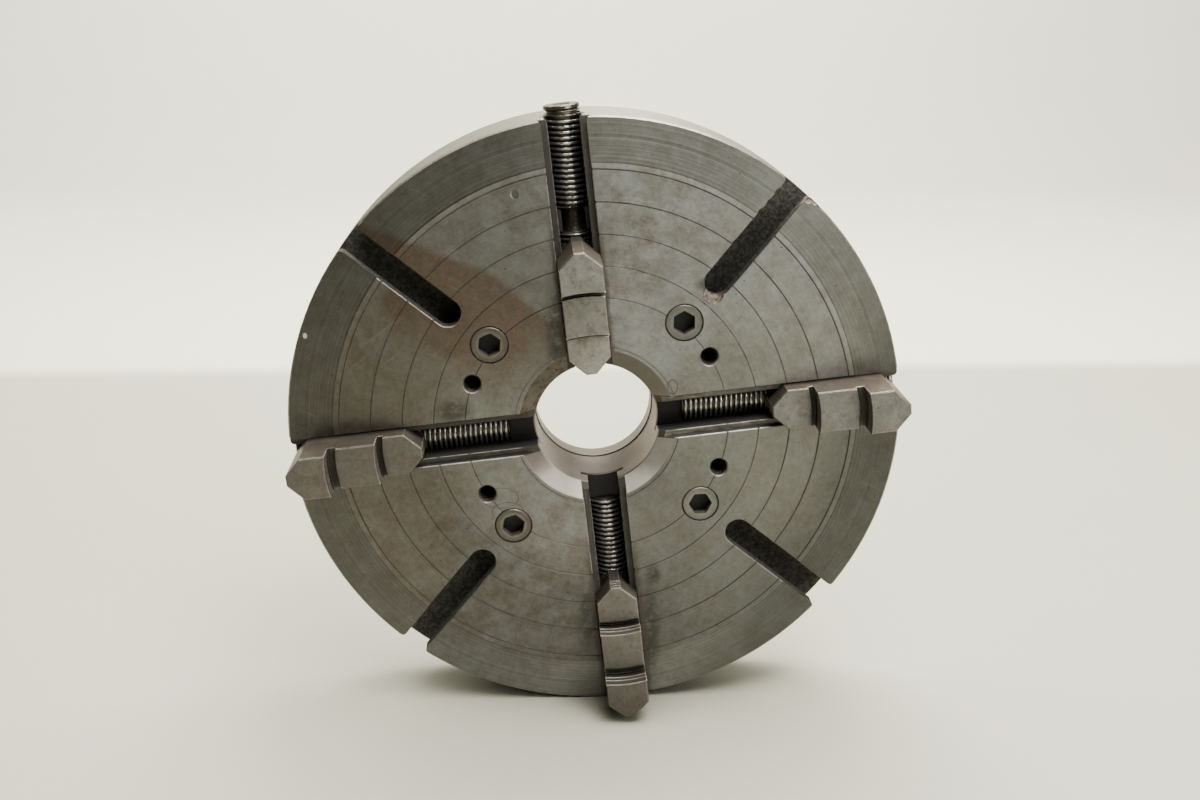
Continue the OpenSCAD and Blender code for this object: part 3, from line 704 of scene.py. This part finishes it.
def jaw_steel():
    """Hardened jaws: ground, knocked and stained, with bright worn edges; painted shade away from
    the light, in corners and down in the slots, and painted highlights on edges that face up.
    """
    g = Graph("jaw_steel")
    edge, rounded = g.edges(1.2, 0.02, 0.16)
    blotch = g.noise(13.0, 5.0, 0.65)
    grain = g.noise(3.6, 6.0, 0.85)
    long, fine = 14.0, 0.9  # grinding marks run across both ways
    ground_at = g.point(g.x / long + g.z / fine, g.y / 1.2, g.z / long - g.x / fine)
    ground = g.noise(1.0, 3.0, 0.6, ground_at)
    tone = 1.0 + (blotch - 0.5) * 0.9 + (grain - 0.5) * 1.3 + (ground - 0.5) * 0.25
    # Painted shade: jaws towards the lower left, away from the light, are painted darker and
    # browner, and sides that face left darker still.
    far = g.step(g.x * -0.9 + g.z * -0.45, -60.0, 110.0)
    front = abs(g.facing("Y"))
    clean = g.mix(far, (0.190, 0.188, 0.172), (0.104, 0.095, 0.081))
    sides = g.mix(far, (0.138, 0.115, 0.086), (0.112, 0.096, 0.074))
    sides = g.scale(sides, 1.0 - g.step(g.facing("X"), -0.25, -0.60) * 0.50)
    clean = g.scale(clean, 1.0 - g.step(g.x, 60.0, 130.0) * 0.24 + g.step(g.r, 90.0, 70.0) * 0.42)
    low = g.step(g.z, -170.0, -240.0)
    colour = g.scale(g.mix(g.step(front, 0.8, 0.95), sides, clean), tone * (1.0 - low * 0.34))
    stain = g.step(g.noise(9.0, 5.0, 0.75), 0.48, 0.68)
    colour = g.mix(stain * 0.55, colour, (0.088, 0.064, 0.044))
    soot = g.step(g.noise(6.0, 5.0, 0.75, g.point(g.z, g.x, g.y)), 0.56, 0.70)
    colour = g.mix(soot * 0.5, colour, (0.050, 0.048, 0.044))
    # Painted shade in corners and at the feet of the steps.
    hollow = g.hollows(9.0)
    colour = g.mix(g.step(hollow, 0.94, 0.52), colour, (0.020, 0.018, 0.015))
    # Painted shade where the jaw runs below the working face, inside its slot.
    under = g.step(g.depth, -0.6, 0.6)
    colour = g.mix(under * 0.75, colour, (0.060, 0.054, 0.046))
    # Bright edges: wear, with a painted highlight where they face up.
    wear = 0.55 + g.step(g.noise(6.0, 3.0), 0.36, 0.60) * 0.45
    wear = wear * (0.30 + g.step(g.facing("Z", rounded), -0.10, 0.30) * 0.70)
    colour = g.mix(edge * wear * g.step(hollow, 0.40, 0.85), colour, (0.68, 0.66, 0.60))
    rough = 0.50 + (blotch - 0.5) * 0.3 + (grain - 0.5) * 0.2 - edge * 0.12
    height = (grain - 0.5) * 0.3 + (ground - 0.5) * 0.15 + (blotch - 0.5) * 0.5
    return g.finish(colour, rough, 0.65, height, 0.10, rounded)


def screw_steel():
    """Jaw screws: dark roots coated in oil; crests worn bright and painted brighter as a painted
    highlight; painted glints on the dark neck.
    """
    g = Graph("screw_steel")
    drop = g.y + AXIS_DEPTH
    radius = g.root(g.across * g.across + drop * drop)
    grime = g.noise(5.0, 4.0, 0.65)
    # Crests painted bright: worn metal and a painted highlight.
    crest = g.step(radius + (grime - 0.5) * 0.8, 13.2, 14.2)
    colour = g.mix(g.step(grime, 0.4, 0.65), (0.076, 0.069, 0.058), (0.116, 0.096, 0.071))
    bright = g.scale((0.370, 0.362, 0.340), 1.0 + (g.noise(9.0, 4.0, 0.7) - 0.5) * 1.6)
    colour = g.mix(crest, colour, bright)
    socket_end = g.scale((0.135, 0.122, 0.098), 0.5 + grime * 0.9)
    colour = g.mix(g.step(g.along, 246.2, 246.8), colour, socket_end)
    neck = g.step(radius, 11.5, 10.5) * g.step(g.along, 200.0, 190.0)
    # Painted glints on the neck.
    glint = g.step(g.noise(2.2, 3.0, 0.7), 0.56, 0.66)
    colour = g.mix(neck, colour, g.mix(glint * 0.6, (0.050, 0.044, 0.036), (0.20, 0.19, 0.17)))
    rough = g.blend(crest, 0.46, 0.30) + (grime - 0.5) * 0.3
    return g.finish(colour, rough, 0.9, (grime - 0.5) * 0.8, 0.08)


def plain_steel(name, light, dark, rust, rough, metal, depth_marks=False):
    """Turned or ground steel and iron with stains, for the pieces at the back and the screws."""
    g = Graph(name)
    edge, rounded = g.edges(0.7)
    blotch = g.noise(12.0, 5.0, 0.65)
    grain = g.noise(1.8, 4.0, 0.7)
    lines = g.rings(g.depth if depth_marks else g.r, 1.3)
    tone = 1.0 + (blotch - 0.5) * 0.7 + (grain - 0.5) * 0.35 + (lines - 0.5) * 0.35
    colour = g.scale(g.mix(g.step(g.noise(40.0, 3.0), 0.38, 0.62), light, dark), tone)
    colour = g.mix(g.step(blotch, 0.54, 0.72) * 0.6, colour, rust)
    # Edges painted lighter: worn metal and a painted highlight.
    rubbed_and_painted_highlight = tuple(min(1.0, 2.2 * part) for part in light)
    colour = g.mix(edge * 0.6, colour, rubbed_and_painted_highlight)
    roughness = rough + (blotch - 0.5) * 0.3 + (grain - 0.5) * 0.15
    height = (lines - 0.5) * 0.35 + (grain - 0.5) * 0.25
    return g.finish(colour, roughness, metal, height, 0.10, rounded)


def cap_screw_steel():
    """Mounting screws, faced off flush with the body; their sockets are full of grime and painted
    darker with depth as painted shade.
    """
    g = Graph("cap_screw_steel")
    centre = g.to_hole(CAP_SCREW)
    blotch = g.noise(7.0, 5.0, 0.65)
    grain = g.noise(1.6, 4.0, 0.7)
    lines = g.rings(g.r, 1.0)
    tone = 1.0 + (blotch - 0.5) * 0.7 + (grain - 0.5) * 0.3 + (lines - 0.5) * 0.5
    patches = g.step(g.noise(12.0, 3.0), 0.38, 0.62)
    colour = g.scale(g.mix(patches, (0.120, 0.114, 0.100), (0.134, 0.133, 0.122)), tone)
    # Darker and browner on the left.
    browner_left = g.mix(1.0, colour, (0.72, 0.68, 0.62), "MULTIPLY")
    colour = g.mix(g.step(g.x, 30.0, -60.0), colour, browner_left)
    colour = g.mix(g.band(centre, 9.2, 11.0, 1.0) * 0.25, colour, (0.25, 0.245, 0.225))
    facing = abs(g.facing("Y"))
    corner = g.step(facing, 0.45, 0.62) * g.step(facing, 0.95, 0.85)
    colour = g.mix(corner * 0.35, colour, (0.36, 0.35, 0.31))
    # The sockets darken with depth: grime, and painted shade deeper in.
    inside = g.step(g.depth, 0.8, 2.2) * g.step(centre, 10.6, 10.2)
    grime = g.mix(g.step(g.depth, 3.0, 9.0), (0.085, 0.070, 0.055), (0.008, 0.008, 0.008))
    colour = g.mix(inside, colour, grime)
    rough = g.blend(inside, 0.42 + (blotch - 0.5) * 0.3, 0.6)
    height = (lines - 0.5) * 0.3 + (grain - 0.5) * 0.3
    return g.finish(colour, rough, g.blend(inside, 0.85, 0.3), height, 0.10)


def floor_paint():
    """Pale paint, with a painted contact shadow where the part stands on it."""
    g = Graph("floor_paint")
    tone = 1.0 + (g.noise(400.0, 3.0) - 0.5) * 0.06 + (g.noise(30.0, 4.0) - 0.5) * 0.03
    wall = g.step(g.y, WALL_PAINT_FROM, WALL_PAINT_FROM + 80.0)
    colour = g.mix(wall, (0.512, 0.507, 0.405), (0.900, 0.885, 0.750))
    # Painted contact shadow, from ambient occlusion.
    shaded = g.step(g.hollows(110.0, 12), 0.80, 0.15)
    colour = g.scale(colour, tone * (1.0 - shaded * 0.75))
    return g.finish(colour, 0.55, 0.0)


# ---------------------------------------------------------------- jaw screws with a real helix

# In millimetres; places along a screw are measured from the spindle axis
CREST_R, THREAD_DEPTH, PITCH = 14.5, 2.3, 4.2333
END_R, RUN_OUT = 12.6, 1.6  # where a thread fades away
SCREW_START = 72.5
SCREW_ENDS = {"right": 249.5, "top": 257.0, "left": 249.5, "bottom": 249.5}
NECK_IN, NECK_OUT, NECK_R = 157.5, 176.0, 9.5
KEY_HALF, KEY_DEPTH = 6.5, 18.0
ROW_STEP = 0.30
ROUND_POINTS = 64  # in each ring of a screw


def thread_radius(along, turn):
    """Radius of the left-hand square thread, with worn round crests."""
    phase = (along / PITCH + turn) % 1.0
    flat = abs(phase - 0.5) * 2.0  # 0 at the root, 1 at the crest
    rise = min(1.0, max(0.0, (flat - 0.34) / 0.30))
    rise = rise * rise * (3.0 - 2.0 * rise)
    crown = 0.18 * max(0.0, flat - 0.7) / 0.3
    return CREST_R - 0.18 + crown - THREAD_DEPTH * (1.0 - rise)


def threaded_rows(low, high):
    """Rows of a thread that fades away at both ends."""
    count = round((high - low) / ROW_STEP)
    rows = []
    for n in range(count + 1):
        at = low + (high - low) * n / count
        share = min(1.0, min(at - low, high - at) / RUN_OUT)
        rows.append((at, lambda t, at=at, s=share: s * thread_radius(at, t) + (1 - s) * END_R))
    return rows


def plain(radius):
    """A round ring."""
    return lambda t: radius


def square(half):
    """A square ring, for the key's socket."""
    return lambda t: half / max(abs(math.cos(t * math.tau)), abs(math.sin(t * math.tau)))


def screw_rows(end):
    """Rings from the inner end to the socket's floor: place, and radius for each point round."""
    return [
        (SCREW_START, plain(END_R)),
        *threaded_rows(SCREW_START + 0.2, NECK_IN - 0.3),
        (NECK_IN, plain(12.4)),
        (NECK_IN + 0.05, plain(NECK_R + 0.4)),
        (NECK_IN + 0.5, plain(NECK_R)),
        (NECK_OUT - 0.5, plain(NECK_R)),
        (NECK_OUT - 0.05, plain(NECK_R + 0.4)),
        (NECK_OUT, plain(12.4)),
        *threaded_rows(NECK_OUT + 0.3, end - 3.4),
        (end - 3.3, plain(13.9)),
        (end - 3.0, plain(CREST_R)),
        (end - 1.0, plain(CREST_R)),
        (end - 0.3, plain(CREST_R - 0.5)),
        (end, plain(CREST_R - 1.3)),
        (end, plain(10.2)),
        (end, square(KEY_HALF + 0.4)),
        (end - 0.5, square(KEY_HALF)),
        (end - KEY_DEPTH, square(KEY_HALF)),
    ]


def build_screw(name, slot, end):
    """A jaw screw as one skin over rings of points, closed at both ends of the skin."""
    angle = CLOCKING + slot * math.pi / 2
    outward = Vector((math.cos(angle), 0, math.sin(angle)))
    side = Vector((-math.sin(angle), 0, math.cos(angle)))
    front = outward.cross(side)
    base = Vector((0, -AXIS_DEPTH, 0))
    rows = screw_rows(end)
    vertices = []
    for at, radius in rows:
        for n in range(ROUND_POINTS):
            t = (n + 0.5) / ROUND_POINTS
            r = radius(t)
            spoke = side * math.cos(t * math.tau) + front * math.sin(t * math.tau)
            vertices.append((base + outward * at + spoke * r) * MILLIMETRE)
    faces = []
    for row in range(len(rows) - 1):
        low, high = row * ROUND_POINTS, (row + 1) * ROUND_POINTS
        for n in range(ROUND_POINTS):
            m = (n + 1) % ROUND_POINTS
            faces.append((low + n, low + m, high + m, high + n))
    faces.append(tuple(range(ROUND_POINTS - 1, -1, -1)))
    last = (len(rows) - 1) * ROUND_POINTS
    faces.append(tuple(last + n for n in range(ROUND_POINTS)))
    piece = new_object(name, vertices, faces)
    for polygon in piece.data.polygons[:-2]:
        polygon.use_smooth = True
    piece.data.set_sharp_from_angle(angle=math.radians(50))
    return piece


# ---------------------------------------------------------------- put together


def wear(material, *names):
    """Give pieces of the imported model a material."""
    for name in names:
        mesh = nodes[name].data
        mesh.materials.clear()
        mesh.materials.append(material)


add_camera()
floor = add_floor()
floor.data.materials.append(floor_paint())

wear(worn_iron(), "chuck_body")
wear(jaw_steel(), *("jaw_" + place for place in PLACES))
wear(cap_screw_steel(), *(f"mounting_screw_{n}" for n in range(1, 5)))
adapter_iron = plain_steel(
    "adapter_iron",
    light=(0.122, 0.107, 0.091),
    dark=(0.100, 0.089, 0.077),
    rust=(0.09, 0.06, 0.04),
    rough=0.45,
    metal=0.85,
)
wear(adapter_iron, "adapter_plate")
block_steel = plain_steel(
    "block_steel",
    light=(0.090, 0.085, 0.075),
    dark=(0.062, 0.059, 0.052),
    rust=(0.060, 0.038, 0.026),
    rough=0.45,
    metal=0.85,
    depth_marks=True,
)
wear(block_steel, *("thrust_block_" + place for place in PLACES))
black_steel = plain_steel(
    "black_steel",
    light=(0.045, 0.045, 0.045),
    dark=(0.03, 0.03, 0.03),
    rust=(0.06, 0.035, 0.02),
    rough=0.40,
    metal=0.8,
    depth_marks=True,
)
wear(black_steel, *("thrust_block_screws_" + place for place in PLACES))

steel = screw_steel()
for slot, place in enumerate(PLACES):
    screw = build_screw("threaded_screw_" + place, slot, SCREW_ENDS[place])
    screw.data.materials.append(steel)
    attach(screw, "screw_" + place)
    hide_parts("jaw_screw_" + place)

add_world()
for light in LIGHTS:
    add_area(*light)
